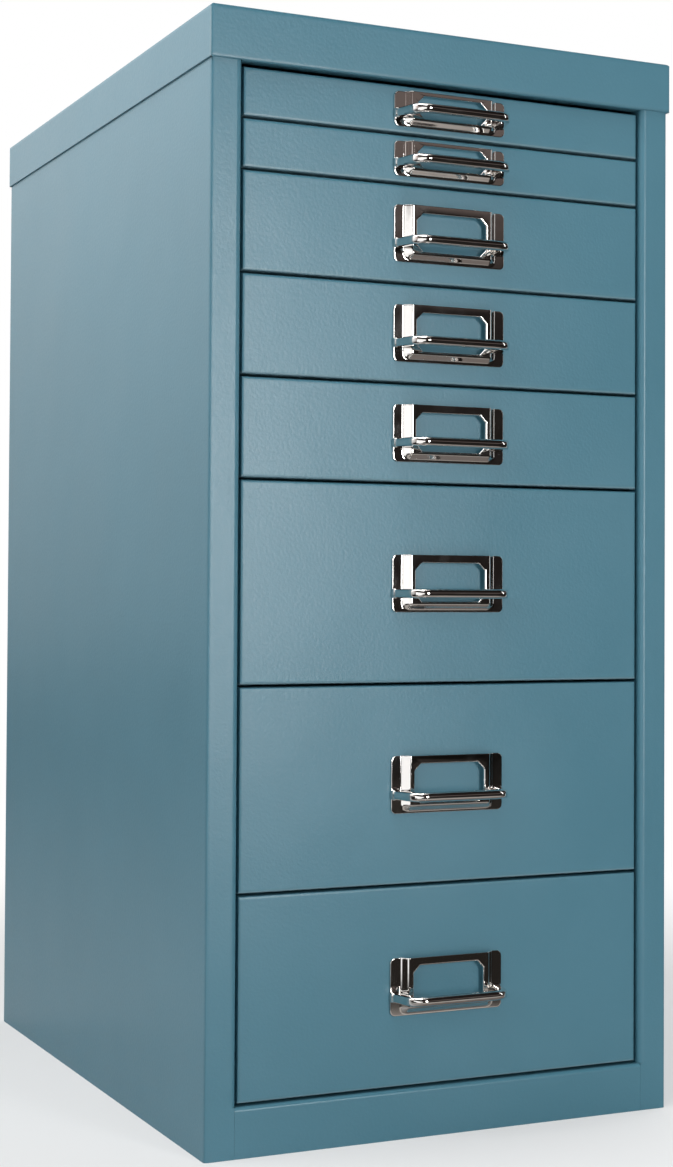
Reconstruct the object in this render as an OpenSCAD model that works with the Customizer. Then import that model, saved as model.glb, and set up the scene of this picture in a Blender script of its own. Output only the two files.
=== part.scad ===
// Small steel drawer cabinet: a welded carcass of folded sheet with a slip-on cap, and
// eight drawers that hang by their rims in channel runners. Each drawer is a folded
// front pan, a rimmed tray, a pressed label plate and a pull peened through all three.
// Millimetres, +Z up, front at -Y, origin on the floor at the middle of the cap's plan.

/* [Carcass] */
// Width over the cap
cap_w = 279; // [250:1:330]
// Depth over the cap
cap_d = 380; // [360:1:460]
// Height of the cap's skirt
skirt_h = 27.7; // [24:0.1:36]
// Thickness of the folded sheet
sheet = 0.9; // [0.7:0.1:1.1]
// Slip gap between the cap and the body
cap_gap = 0.15; // [0.1:0.05:0.4]
// Outer radius of the bends round the cap's top
cap_bend = 2.8; // [2:0.1:4]
// Outer radius of the cap's upright corners
cap_corner = 1.6; // [1.3:0.1:2.5]
// Outer radius of the rolled lower edge at the cap's front
cap_roll = 1.6; // [1.3:0.1:2.5]
// Depth of the return behind the rolled edge
cap_return = 9; // [6:0.5:10]
// Width of the upright stiles beside the drawers
stile_w = 17.3; // [14:0.1:22]
// Outer radius of the carcass's upright corner bends
body_bend = 2; // [1.5:0.1:3]
// Outer radius of the bend along the stile's inner edge
stile_bend = 3.2; // [2:0.1:4]
// Depth of the stile's return into the cabinet
stile_return = 12; // [8:0.5:14]
// Width of the flange that carries the back panel
back_flange = 16; // [12:1:24]
// Width of the flange that carries the cap
top_flange = 12; // [8:1:16]

/* [Rails and base] */
// Height of the bottom rail
rail_h = 26; // [20:0.5:40]
// Outer radius of the bend along the rail's top
rail_bend = 2; // [1.5:0.1:3]
// Depth of the rail's top return
rail_return = 11; // [8:0.5:12]
// Reach of the rail past the opening at each end
rail_notch = 0.9; // [0.5:0.1:1.5]
// Open seam between the rail and the stile
seam = 0.1; // [0.05:0.05:0.2]
// Width of the welding ear behind the stile
ear_w = 11; // [8:0.5:13]
// Height of the flanges round the base panel
base_flange = 12; // [8:1:18]
// Air between the cap's return and the top rail
top_rail_gap = 0.8; // [0.5:0.1:2]
// Depth of the top rail's flanges
top_rail_d = 10; // [8:0.5:14]
// Set-back of the top rail from the stile's face
top_rail_set = 1; // [0.5:0.1:2]

/* [Drawers] */
// Height of one unit of the drawer stack
pitch = 26.7; // [26:0.1:30]
// Gap between neighbouring fronts
reveal = 1.2; // [0.8:0.1:2]
// Gap between a front and the stile
side_gap = 1.4; // [1:0.1:2]
// Gap between the top front and the cap
top_gap = 2.3; // [1.5:0.1:4]
// Set-back of the fronts from the stile's face
recess = 2.5; // [1.5:0.1:4]
// Outer radius of the bends round a front
front_bend = 1.6; // [1.2:0.1:2.5]
// Depth of the returns round a front
front_return = 12; // [8:0.5:14]
// Distance from the side of a front to the tray's wall
tray_inset = 6.45; // [6:0.05:8]
// Air between the tray and the bend along the front's foot
tray_lift = 0.1; // [0.1:0.1:1]
// Drop from the top of a front to the tray's rim
rim_drop = 5; // [4:0.1:6]
// Reach of the rim out from the tray's wall
rim_w = 6; // [5:0.1:6.2]
// Height of the rim's turned-down edge
rim_h = 5; // [4:0.1:6]
// Outer radius of the tray's bends
tray_bend = 1.5; // [1.2:0.1:2]
// Air behind the trays
rear_room = 22; // [18:1:40]
// Travel of a drawer
travel = 290; // [200:5:300]

/* [Runners] */
// Running gap round the rim
slide_gap = 0.3; // [0.2:0.05:0.5]
// Gap between the channel and the tray's wall
wall_gap = 0.8; // [0.6:0.1:1.5]
// Outer radius of the channel's bends
runner_bend = 1.5; // [1.2:0.1:2]
// Gap from a front's returns to the rim and the channel
runner_set = 1; // [0.5:0.1:3]
// Reach of the rim's stop lug
lug_w = 4; // [3:0.5:6]
// Length of the rim's stop lug
lug_l = 6; // [4:1:10]

/* [Label plates] */
// Width of the label plate
plate_w = 66.9; // [60:0.1:80]
// Height of the plate on a one-unit drawer
low_plate_h = 18.9; // [18:0.1:19.5]
// Height of the plate on a taller drawer
tall_plate_h = 30.7; // [28:0.1:40]
// Thickness of the plate
plate_t = 1.2; // [0.8:0.1:1.3]
// Corner radius of the plate
plate_corner = 2.8; // [1.5:0.1:4]
// Width of the flange at each side
flange_w = 6; // [5.5:0.1:8]
// Width of the slope up to the raised face
slope_w = 3.6; // [2:0.1:5]
// Rise of the raised face over the flange
rise = 3; // [2:0.1:4]
// Outer radius of the pressed bends
press_bend = 1.6; // [1.4:0.1:2]
// Width of the raised face beside the window
window_side = 3; // [2.5:0.1:5]
// Cut across each corner of the window
window_cut = 3.7; // [2:0.1:5]
// Flange along the foot of a low plate
low_flange = 0.8; // [0.6:0.1:1.2]
// Width of the slope at the foot of a low plate
low_slope = 1.6; // [1.2:0.1:2]
// Raised face below the window of a low plate
low_sill = 0.7; // [0.5:0.1:1.2]
// Raised face above the window of a low plate
low_top = 2.1; // [1.5:0.1:3]
// Flange along the foot of a tall plate
tall_flange = 1.3; // [0.8:0.1:2]
// Width of the slope at the foot of a tall plate
tall_slope = 3; // [2:0.1:4]
// Raised face below the window of a tall plate
tall_sill = 1.6; // [1:0.1:2.5]
// Raised face above the window of a tall plate
tall_top = 4.4; // [3:0.1:6]

/* [Pulls] */
// Thickness of the pull's bar
bar_d = 4.6; // [4:0.1:5.2]
// Overall width of the pull at its front
pull_w = 59.2; // [50:0.1:64]
// Reach from the plate's flange to the bar's middle
pull_reach = 16.7; // [14:0.1:24]
// Mid-line radius of the pull's corners
pull_corner = 4.5; // [3.5:0.1:6]
// Thickness of the pull's arm at its root
root_d = 5.8; // [5:0.1:6]
// Height of the arm, forged flatter than the bar
arm_h = 4.4; // [3.8:0.1:4.5]
// Height of the bar above the foot of a low plate
low_bar_z = 7; // [5:0.1:9]
// Height of the bar above the foot of a tall plate
tall_bar_z = 10; // [8:0.1:12]
// Diameter of the spigot through plate, front and tray
spigot_d = 3.2; // [2.5:0.1:3.6]
// Clearance round the spigot
spigot_gap = 0.1; // [0.05:0.05:0.2]
// Diameter of the peened head
peen_d = 6; // [5:0.1:7]
// Thickness of the peened head
peen_t = 1; // [0.6:0.1:1.2]

/* [Hidden] */
// Units of each drawer, from the top drawer down
drawer_units = [1, 1, 2, 2, 2, 4, 4, 4];
drawer_count = len(drawer_units);
DRAWERS = [for (k = [1:drawer_count]) k];
$fn = 48;
past = 1; // how far a cutter runs past what it cuts
corner_lap = 2; // degrees by which a pull's bent corner laps the bar and the arm
corner_swell = 0.02; // and how far it stands proud of them
press_gap = 0.01; // how far the hollow of a plate starts behind its back
least = 0.001; // no strip of sheet is drawn that is shorter

paint = [0.42, 0.58, 0.65];
inner_paint = [0.36, 0.51, 0.57];
chrome = [0.83, 0.83, 0.84];

// Carcass planes, worked inwards from the cap
skin_front = -cap_d / 2 + cap_roll + cap_gap;
skin_back = cap_d / 2 - sheet - cap_gap;
skin_x = cap_w / 2 - sheet - cap_gap;
opening_x = skin_x - stile_w;
rail_x = opening_x + rail_notch;

// Heights, worked up from the floor
function units_below(k) = k == drawer_count ? 0 : drawer_units[k] + units_below(k + 1);
function front_foot(k) = rail_h + reveal + pitch * units_below(k);
function front_h(k) = pitch * drawer_units[k - 1] - reveal;
function rim_top(k) = front_foot(k) + front_h(k) - rim_drop;
function tray_foot(k) = front_foot(k) + front_bend + tray_lift;
skirt_foot = front_foot(1) + front_h(1) + top_gap;
cabinet_h = skirt_foot + skirt_h;
body_top = cabinet_h - sheet;

// The walls stop where the cap bends; flanges go on up, bent to nest inside it
top_bend = cap_bend - sheet;
wall_top = body_top - top_bend;

// Drawer planes
face_y = skin_front + recess;
front_x = opening_x - side_gap;
tray_x = front_x - tray_inset;
rim_x = tray_x + rim_w;
tray_front = face_y + sheet;
tray_back = skin_back - 2 * sheet - rear_room;
rim_front = face_y + front_return + runner_set;

// Runner planes: the lug meets the stop plate when the drawer is out by its travel
channel_x = tray_x + wall_gap;
web_x = skin_x - sheet;
end_stop = tray_back + slide_gap;
open_stop = tray_back - lug_l - travel - slide_gap;

// Plate and pull
function is_low(k) = drawer_units[k - 1] == 1;
function plate_h(k) = is_low(k) ? low_plate_h : tall_plate_h;
function plate_foot(k) = front_foot(k) + (front_h(k) - plate_h(k)) / 2;
function foot_bands(k) =
    is_low(k) ? [low_flange, low_slope, low_sill] : [tall_flange, tall_slope, tall_sill];
function bar_z(k) = plate_foot(k) + (is_low(k) ? low_bar_z : tall_bar_z);
root_x = (plate_w - flange_w) / 2;
spigot_hole = spigot_d + 2 * spigot_gap;

// --- sheet-metal shapes ---

function dir(a, b) = (b - a) / norm(b - a);

// Flat stretch of sheet along its mid-line from a to b
module strip(a, b) {
    if (norm(b - a) > least)
        translate(a) rotate(atan2(b.y - a.y, b.x - a.x))
            translate([0, -sheet / 2]) square([norm(b - a), sheet]);
}

// Square bend of the mid-line a-b-c at b, with mid-line radius r
module elbow(a, b, c, r) {
    centre = b + (dir(b, a) + dir(b, c)) * r;
    intersection() {
        translate(centre) difference() {
            circle(r + sheet / 2);
            circle(r - sheet / 2);
        }
        polygon([
            centre,
            centre - 2 * r * dir(b, a),
            centre - 2 * r * (dir(b, a) + dir(b, c)),
            centre - 2 * r * dir(b, c)
        ]);
    }
}

// Folded sheet: the mid-line's corner points, and the outer radius of each bend
module fold(path, radii) {
    last = len(path) - 1;
    mid = [for (i = [0:last]) i == 0 || i == last ? 0 : radii[i - 1] - sheet / 2];
    for (i = [0:last - 1])
        strip(
            path[i] + dir(path[i], path[i + 1]) * mid[i],
            path[i + 1] - dir(path[i], path[i + 1]) * mid[i + 1]
        );
    for (i = [1:last - 1]) elbow(path[i - 1], path[i], path[i + 1], mid[i]);
}

// Extrusions of a profile: drawn in X-Z and run along Y, or drawn in Y-Z and run along X
module along_y(from, to) {
    translate([0, to, 0]) rotate([90, 0, 0]) linear_extrude(to - from) children();
}

module along_x(from, to) {
    translate([from, 0, 0]) rotate([90, 0, 90]) linear_extrude(to - from) children();
}

// Rectangle from lo to hi, with the radius of each corner from lower left, turning left
module rounded(lo, hi, radii) {
    corner = [lo, [hi.x, lo.y], hi, [lo.x, hi.y]];
    inward = [[1, 1], [-1, 1], [-1, -1], [1, -1]];
    difference() {
        translate(lo) square(hi - lo);
        for (i = [0:3])
            if (radii[i] > 0)
                translate(corner[i] + inward[i] * radii[i]) difference() {
                    mirror([inward[i].x > 0 ? 1 : 0, 0])
                        mirror([0, inward[i].y > 0 ? 1 : 0])
                            square(radii[i] + past);
                    circle(radii[i]);
                }
    }
}

// Solid pan form: face down on Z = 0, bent up on all four sides
module pan_form(w, h, depth, bend) {
    intersection() {
        along_y(-h / 2, h / 2) rounded([-w / 2, 0], [w / 2, depth], [bend, bend, 0, 0]);
        along_x(-w / 2, w / 2) rounded([-h / 2, 0], [h / 2, depth], [bend, bend, 0, 0]);
    }
}

module at_right_too() {
    children();
    mirror([1, 0, 0]) children();
}

// --- carcass ---

// Corner-rounded plan of the cap, drawn in by a margin
module cap_plan(margin) {
    half = [cap_w / 2 - margin, cap_d / 2 - margin];
    r = cap_corner - margin;
    rounded(-half, half, [r, r, r, r]);
}

// Upper part of the cap: a pan turned over, its upright corners rounded
module cap_shell() {
    difference() {
        intersection() {
            translate([0, 0, cabinet_h]) rotate([180, 0, 0])
                pan_form(cap_w, cap_d, skirt_h, cap_bend);
            linear_extrude(cabinet_h) cap_plan(0);
        }
        intersection() {
            translate([0, 0, body_top]) rotate([180, 0, 0])
                pan_form(cap_w - 2 * sheet, cap_d - 2 * sheet, skirt_h, cap_bend - sheet);
            linear_extrude(cabinet_h) cap_plan(sheet);
        }
        roll_zone();
    }
}

// Where the front skirt's plain edge gives way to the rolled one
module roll_zone() {
    side = cap_w / 2 - sheet;
    translate([-side, -cap_d / 2 - past, skirt_foot - past])
        cube([2 * side, past + cap_roll, past + cap_roll]);
}

module rolled_edge(reach) {
    skirt_mid = -cap_d / 2 + sheet / 2;
    edge_mid = skirt_foot + sheet / 2;
    path = [
        [skirt_mid, skirt_foot + cap_roll],
        [skirt_mid, edge_mid],
        [-cap_d / 2 + reach, edge_mid]
    ];
    fold(path, [cap_roll]);
}

module top_cap() {
    side = cap_w / 2 - sheet;
    between_stiles = opening_x - cap_gap;
    color(paint) {
        cap_shell();
        along_x(-side, side) rolled_edge(cap_roll);
        along_x(-between_stiles, between_stiles) rolled_edge(cap_return);
    }
}

// Plan of the left side panel: stile, side and rear flange, from the given start
module side_plan(start, radii) {
    outer = -skin_x + sheet / 2;
    path = concat(start, [
        [outer, skin_front + sheet / 2],
        [outer, skin_back - sheet / 2],
        [-skin_x + back_flange, skin_back - sheet / 2]
    ]);
    fold(path, concat(radii, [body_bend, body_bend]));
}

module side_panel() {
    face = skin_front + sheet / 2;
    edge = -opening_x - sheet / 2;
    top_path = [
        [-skin_x + sheet / 2, wall_top - sheet],
        [-skin_x + sheet / 2, body_top - sheet / 2],
        [-skin_x + top_flange, body_top - sheet / 2]
    ];
    color(paint) {
        // beside the rail the stile is flat and butts against it
        linear_extrude(rail_h + seam) side_plan([[-rail_x, face]], []);
        // above it the stile's inner edge turns into the cabinet
        translate([0, 0, rail_h + seam])
            linear_extrude(wall_top - rail_h - seam)
                side_plan([[edge, skin_front + stile_return], [edge, face]], [stile_bend]);
        along_y(skin_front + body_bend, skin_back - body_bend) fold(top_path, [top_bend]);
    }
}

module side_panel_left() {
    side_panel();
}

module side_panel_right() {
    mirror([1, 0, 0]) side_panel();
}

module back_panel() {
    x = skin_x - body_bend - seam;
    color(paint)
        translate([-x, skin_back - 2 * sheet, 0]) cube([2 * x, sheet, wall_top]);
}

// Closed end wall of a folded trough
module end_wall(x, foot, top, bend, y) {
    along_y(y, y + sheet) rounded([-x, foot], [x, top], [bend, bend, 0, 0]);
}

module base_panel() {
    x = skin_x - sheet - seam;
    front = skin_front + 2 * sheet;
    back = skin_back - 2 * sheet;
    mid = x - sheet / 2;
    path = [[-mid, base_flange], [-mid, sheet / 2], [mid, sheet / 2], [mid, base_flange]];
    color(inner_paint) {
        along_y(front, back) fold(path, [body_bend, body_bend]);
        end_wall(x, 0, base_flange, body_bend, front);
        end_wall(x, 0, base_flange, body_bend, back - sheet);
    }
}

module bottom_rail() {
    end = rail_x - seam;
    face = skin_front + sheet / 2;
    ear_top = rail_h - rail_bend - sheet;
    path = [[skin_front + rail_return, rail_h - sheet / 2], [face, rail_h - sheet / 2], [face, 0]];
    color(paint) {
        along_x(-end, end) fold(path, [rail_bend]);
        at_right_too()
            translate([-end - ear_w, skin_front + sheet, base_flange / 2])
                cube([2 * ear_w, sheet, ear_top - base_flange / 2]);
    }
}

module top_rail() {
    foot = skirt_foot + sheet + top_rail_gap;
    front = skin_front + top_rail_set;
    back = front + top_rail_d;
    mid = opening_x - sheet / 2;
    face = front + sheet / 2;
    path = [[-mid, back], [-mid, face], [mid, face], [mid, back]];
    top_path = [[face, wall_top - sheet], [face, body_top - sheet / 2], [back, body_top - sheet / 2]];
    color(inner_paint) {
        translate([0, 0, foot]) linear_extrude(wall_top - foot) fold(path, [body_bend, body_bend]);
        along_x(-opening_x + body_bend, opening_x - body_bend) fold(top_path, [top_bend]);
    }
}

// --- runners ---

// Left channel: web on the side panel, arms round the drawer's rim, a plate at each stop
module runner(k) {
    top = rim_top(k) + slide_gap + sheet;
    foot = rim_top(k) - rim_h - slide_gap - sheet;
    web = -web_x + sheet / 2;
    path = [
        [-channel_x, top - sheet / 2],
        [web, top - sheet / 2],
        [web, foot + sheet / 2],
        [-channel_x, foot + sheet / 2]
    ];
    inner_h = top - foot - 2 * sheet;
    color(inner_paint) {
        along_y(rim_front, end_stop + sheet) fold(path, [runner_bend, runner_bend]);
        // end stop behind the rim
        translate([-web_x + sheet / 2, end_stop, foot + sheet / 2])
            cube([web_x - channel_x - sheet / 2, sheet, inner_h + sheet]);
        // stop plate that the lug meets
        translate([-web_x + sheet / 2, open_stop - sheet, foot + sheet / 2])
            cube([web_x - rim_x - slide_gap - sheet / 2, sheet, inner_h + sheet]);
    }
}

module runner_left(k) {
    runner(k);
}

module runner_right(k) {
    mirror([1, 0, 0]) runner(k);
}

// --- drawers ---

module spigot_holes(k) {
    for (side = [-1, 1])
        translate([side * root_x, face_y, bar_z(k)]) rotate([90, 0, 0])
            cylinder(d = spigot_hole, h = 2 * (plate_t + rise + past), center = true);
}

module drawer_front(k) {
    w = 2 * front_x;
    h = front_h(k);
    color(paint) difference() {
        translate([0, face_y, front_foot(k) + h / 2]) rotate([-90, 0, 0]) difference() {
            pan_form(w, h, front_return, front_bend);
            translate([0, 0, sheet])
                pan_form(w - 2 * sheet, h - 2 * sheet, front_return, front_bend - sheet);
        }
        spigot_holes(k);
    }
}

module drawer_tray(k) {
    foot = tray_foot(k);
    top = rim_top(k);
    rim_mid = top - sheet / 2;
    floor_mid = foot + sheet / 2;
    wall_mid = tray_x - sheet / 2;
    edge_mid = rim_x - sheet / 2;
    trough = [[-wall_mid, top], [-wall_mid, floor_mid], [wall_mid, floor_mid], [wall_mid, top]];
    rimmed = [
        [-edge_mid, top - rim_h],
        [-edge_mid, rim_mid],
        [-wall_mid, rim_mid],
        [-wall_mid, floor_mid],
        [wall_mid, floor_mid],
        [wall_mid, rim_mid],
        [edge_mid, rim_mid],
        [edge_mid, top - rim_h]
    ];
    color(inner_paint) difference() {
        union() {
            along_y(tray_front, rim_front) fold(trough, [tray_bend, tray_bend]);
            along_y(rim_front, tray_back) fold(rimmed, [for (i = [1:6]) tray_bend]);
            end_wall(tray_x, foot, top, tray_bend, tray_front);
            end_wall(tray_x, foot, top - tray_bend, tray_bend, tray_back - sheet);
            at_right_too()
                translate([-rim_x - lug_w, tray_back - lug_l, top - rim_h])
                    cube([lug_w + sheet / 2, lug_l, rim_h - tray_bend]);
        }
        spigot_holes(k);
    }
}

// --- label plates and pulls, drawn on Y = 0 with +Y away from the drawer ---

// Half outline of a pressed hump: its side runs in by `run` over each `rise`
module hump(foot, run, top, r) {
    crest = [foot - run * top / rise, top];
    down = [run, -rise] / norm([run, rise]);
    in = [-1, 0];
    half = acos(down * in) / 2;
    centre = crest + (down + in) / norm(down + in) * r / sin(half);
    side = crest + down * r / tan(half);
    flat = crest + in * r / tan(half);
    for (m = [0, 1]) mirror([m, 0]) {
        polygon([[0, 0], [foot, 0], side, flat, [0, top]]);
        translate(centre) circle(r);
    }
}

// How far a pressed side of this run moves in for the plate's thickness
function wall_run(run) = plate_t * norm([run, rise]) / rise;

// Outside (t = 0) or hollow (t = plate_t) of the raised part, open at the plate's top
module raised(h, bands, t) {
    flat_side = plate_w / 2 - flange_w;
    flat_foot = h - bands[0];
    side_foot = flat_side + slope_w * plate_t / rise - (t > 0 ? wall_run(slope_w) : 0);
    low_foot = flat_foot + bands[1] * plate_t / rise - (t > 0 ? wall_run(bands[1]) : 0);
    intersection() {
        linear_extrude(2 * h) hump(side_foot, slope_w, plate_t + rise - t, press_bend - t);
        translate([0, 0, h]) rotate([0, 90, 0]) linear_extrude(plate_w, center = true)
            hump(low_foot, bands[1], plate_t + rise - t, press_bend - t);
    }
}

// Rectangle from lo to hi with its corners cut off
module cut_corners(lo, hi, cut) {
    polygon([
        [lo.x + cut, lo.y], [hi.x - cut, lo.y],
        [hi.x, lo.y + cut], [hi.x, hi.y - cut],
        [hi.x - cut, hi.y], [lo.x + cut, hi.y],
        [lo.x, hi.y - cut], [lo.x, lo.y + cut]
    ]);
}

// Outline in X-Z, run out along +Y by a depth
module across(depth) {
    mirror([0, 1, 0]) rotate([90, 0, 0]) linear_extrude(depth) children();
}

module pressed_plate(h, bands, top) {
    c = plate_corner;
    outline = plate_w / 2;
    window_x = outline - flange_w - slope_w - window_side;
    window_foot = bands[0] + bands[1] + bands[2];
    difference() {
        intersection() {
            union() {
                across(plate_t) translate([-outline, 0]) square([plate_w, h]);
                raised(h, bands, 0);
            }
            across(plate_t + rise + past) rounded([-outline, 0], [outline, h], [c, c, c, c]);
        }
        translate([0, -press_gap, 0]) raised(h, bands, plate_t);
        across(plate_t + rise + past)
            cut_corners([-window_x, window_foot], [window_x, h - top], window_cut);
    }
}

module on_front(k) {
    translate([0, face_y, plate_foot(k)]) mirror([0, 1, 0]) children();
}

module label_plate(k) {
    color(chrome) difference() {
        on_front(k)
            pressed_plate(plate_h(k), foot_bands(k), is_low(k) ? low_top : tall_top);
        spigot_holes(k);
    }
}

// Domed head, its flat side on Z = 0
module peened_head() {
    r = (peen_d * peen_d / 4 + peen_t * peen_t) / (2 * peen_t);
    rotate_extrude() intersection() {
        translate([0, peen_t - r]) circle(r);
        square([peen_d, peen_t]);
    }
}

// Pull at Z = 0: bar, bent corners, arms that lean out to their roots, peened spigots
module pull_bar() {
    r = bar_d / 2;
    corner = [pull_w / 2 - r - pull_corner, plate_t + pull_reach - pull_corner];
    span = [root_x, plate_t] - corner;
    lean = atan2(span.x, -span.y) - asin(pull_corner / norm(span));
    touch = corner + pull_corner * [cos(lean), sin(lean)];
    arm = norm(touch - [root_x, plate_t]);
    swell = (root_d - bar_d) / 2 / arm;
    head_y = -2 * sheet;
    translate([0, plate_t + pull_reach, 0]) rotate([0, 90, 0])
        cylinder(d = bar_d, h = 2 * corner.x, center = true);
    at_right_too() {
        translate([corner.x, corner.y, 0]) rotate([0, 0, lean - corner_lap])
            rotate_extrude(angle = 90 - lean + 2 * corner_lap)
                translate([pull_corner, 0]) circle(r + corner_swell);
        intersection() {
            translate([root_x, plate_t, 0]) rotate([-90, 0, lean]) translate([0, 0, -root_d])
                cylinder(r1 = root_d / 2 + swell * root_d, r2 = r, h = arm + root_d);
            translate([0, plate_t, -arm_h / 2]) cube([plate_w, pull_reach, arm_h]);
        }
        translate([root_x, head_y - peen_t / 2, 0]) rotate([-90, 0, 0])
            cylinder(d = spigot_d, h = plate_t - head_y + peen_t / 2 + r);
        translate([root_x, head_y, 0]) rotate([90, 0, 0]) peened_head();
    }
}

module pull(k) {
    color(chrome)
        translate([0, face_y, bar_z(k)]) mirror([0, 1, 0]) pull_bar();
}

top_cap();
side_panel_left();
side_panel_right();
back_panel();
base_panel();
bottom_rail();
top_rail();
for (k = DRAWERS) {
    runner_left(k);
    runner_right(k);
    drawer_front(k);
    drawer_tray(k);
    label_plate(k);
    pull(k);
}
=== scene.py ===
import math

import bmesh
import bpy
from mathutils import Matrix, Vector


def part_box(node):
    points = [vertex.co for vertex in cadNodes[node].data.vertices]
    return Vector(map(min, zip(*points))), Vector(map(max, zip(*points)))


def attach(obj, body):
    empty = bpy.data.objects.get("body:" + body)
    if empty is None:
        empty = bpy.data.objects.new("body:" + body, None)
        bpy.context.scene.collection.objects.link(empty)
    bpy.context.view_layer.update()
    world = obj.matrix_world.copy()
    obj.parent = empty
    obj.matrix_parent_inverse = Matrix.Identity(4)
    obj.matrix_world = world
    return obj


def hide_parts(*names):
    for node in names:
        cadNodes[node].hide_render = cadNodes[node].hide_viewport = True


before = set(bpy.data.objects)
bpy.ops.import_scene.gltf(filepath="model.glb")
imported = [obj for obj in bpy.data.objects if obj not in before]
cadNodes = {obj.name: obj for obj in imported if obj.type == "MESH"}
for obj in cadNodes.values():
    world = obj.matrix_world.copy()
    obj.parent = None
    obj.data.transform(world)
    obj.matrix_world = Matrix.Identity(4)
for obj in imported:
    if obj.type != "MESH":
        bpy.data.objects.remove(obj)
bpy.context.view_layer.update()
drawerNumbers = range(1, 9)
mm = 0.001


# the camera stands left of the cabinet, at half its height

view = {
    "place": (-510.9 * mm, -1159.7 * mm, 288.2 * mm),
    "heading": -0.4418,  # turned to the right, round Z
    "tilt": 1.5935,
    "roll": 0.0053,
    "focal": 2042.09,  # in pixels of the 673 x 1167 photograph
    "axis": (363.0, 547.0),  # pixel that the lens points at
    "frame": (673, 1167),
    "sensor": 36,
    "clip": (0.05, 40),
}


def placeCamera():
    data = bpy.data.cameras.new("photoCamera")
    camera = bpy.data.objects.new("photoCamera", data)
    bpy.context.scene.collection.objects.link(camera)
    turn = (
        Matrix.Rotation(view["heading"], 4, "Z")
        @ Matrix.Rotation(view["tilt"], 4, "X")
        @ Matrix.Rotation(view["roll"], 4, "Z")
    )
    camera.matrix_world = Matrix.Translation(view["place"]) @ turn
    width, height = view["frame"]
    data.sensor_width = view["sensor"]
    data.lens = view["focal"] / height * data.sensor_width
    data.shift_x = (width / 2 - view["axis"][0]) / height
    data.shift_y = (view["axis"][1] - height / 2) / height
    data.clip_start, data.clip_end = view["clip"]
    bpy.context.scene.camera = camera


placeCamera()
print("camera placed")


class Amount:
    # a number socket that can stand in a sum
    def __init__(self, writer, socket):
        self.writer = writer
        self.socket = socket

    def __add__(self, other):
        return self.writer.maths("ADD", self, other)

    def __radd__(self, other):
        return self.writer.maths("ADD", other, self)

    def __sub__(self, other):
        return self.writer.maths("SUBTRACT", self, other)

    def __rsub__(self, other):
        return self.writer.maths("SUBTRACT", other, self)

    def __mul__(self, other):
        return self.writer.maths("MULTIPLY", self, other)

    def __rmul__(self, other):
        return self.writer.maths("MULTIPLY", other, self)

    def __truediv__(self, other):
        return self.writer.maths("DIVIDE", self, other)

    def __rtruediv__(self, other):
        return self.writer.maths("DIVIDE", other, self)

    def __pow__(self, other):
        return self.writer.maths("POWER", self, other)

    def __rpow__(self, other):
        return self.writer.maths("POWER", other, self)


class Writer:
    # writes nodes into one tree, for a shader or for geometry
    def __init__(self, tree):
        self.tree = tree

    def add(self, kind, settings=None, values=None):
        node = self.tree.nodes.new(kind)
        for name, setting in (settings or {}).items():
            setattr(node, name, setting)
        for key, value in (values or {}).items():
            source = value.socket if isinstance(value, Amount) else value
            if isinstance(source, bpy.types.NodeSocket):
                self.tree.links.new(source, node.inputs[key])
            else:
                node.inputs[key].default_value = source
        return node

    def amount(self, socket):
        return Amount(self, socket)

    def maths(self, operation, *terms):
        node = self.add("ShaderNodeMath", {"operation": operation}, dict(enumerate(terms)))
        return Amount(self, node.outputs[0])

    def least(self, first, *others):
        for other in others:
            first = self.maths("MINIMUM", first, other)
        return first

    def together(self, x=0.0, y=0.0, z=0.0):
        return self.add("ShaderNodeCombineXYZ", None, {0: x, 1: y, 2: z}).outputs[0]

    def smooth(self, value, low, high):
        node = self.add(
            "ShaderNodeMapRange",
            {"interpolation_type": "SMOOTHSTEP"},
            {"Value": value, "From Min": low, "From Max": high},
        )
        return Amount(self, node.outputs[0])

    def noise(self, place, scale, detail=2.0, roughness=0.5):
        node = self.add(
            "ShaderNodeTexNoise",
            None,
            {"Vector": place, "Scale": scale, "Detail": detail, "Roughness": roughness},
        )
        return Amount(self, node.outputs["Fac"])

    def mixColour(self, share, first, second):
        # the colour sockets of a Mix node are its inputs 6 and 7 and its output 2
        node = self.add("ShaderNodeMix", {"data_type": "RGBA"}, {0: share, 6: first, 7: second})
        return node.outputs[2]

    def bump(self, height, distance, normal=None):
        values = {"Strength": 1.0, "Distance": distance, "Height": height}
        if normal:
            values["Normal"] = normal
        return self.add("ShaderNodeBump", None, values).outputs[0]

    def axes(self, vector):
        node = self.add("ShaderNodeSeparateXYZ", None, {0: vector})
        return [Amount(self, socket) for socket in node.outputs]


def newMaterial(name):
    material = bpy.data.materials.new(name)
    material.use_nodes = True
    material.node_tree.nodes.clear()
    return material, Writer(material.node_tree)


def closeMaterial(writer, shader):
    writer.add("ShaderNodeOutputMaterial", None, {"Surface": shader.outputs[0]})


def colour(red, green, blue):
    return (red, green, blue, 1)


plainWhite = colour(1, 1, 1)
sharpAngle = math.radians(50)  # edges that turn by more stay sharp


# a noise is given by its scale, detail and roughness

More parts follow.
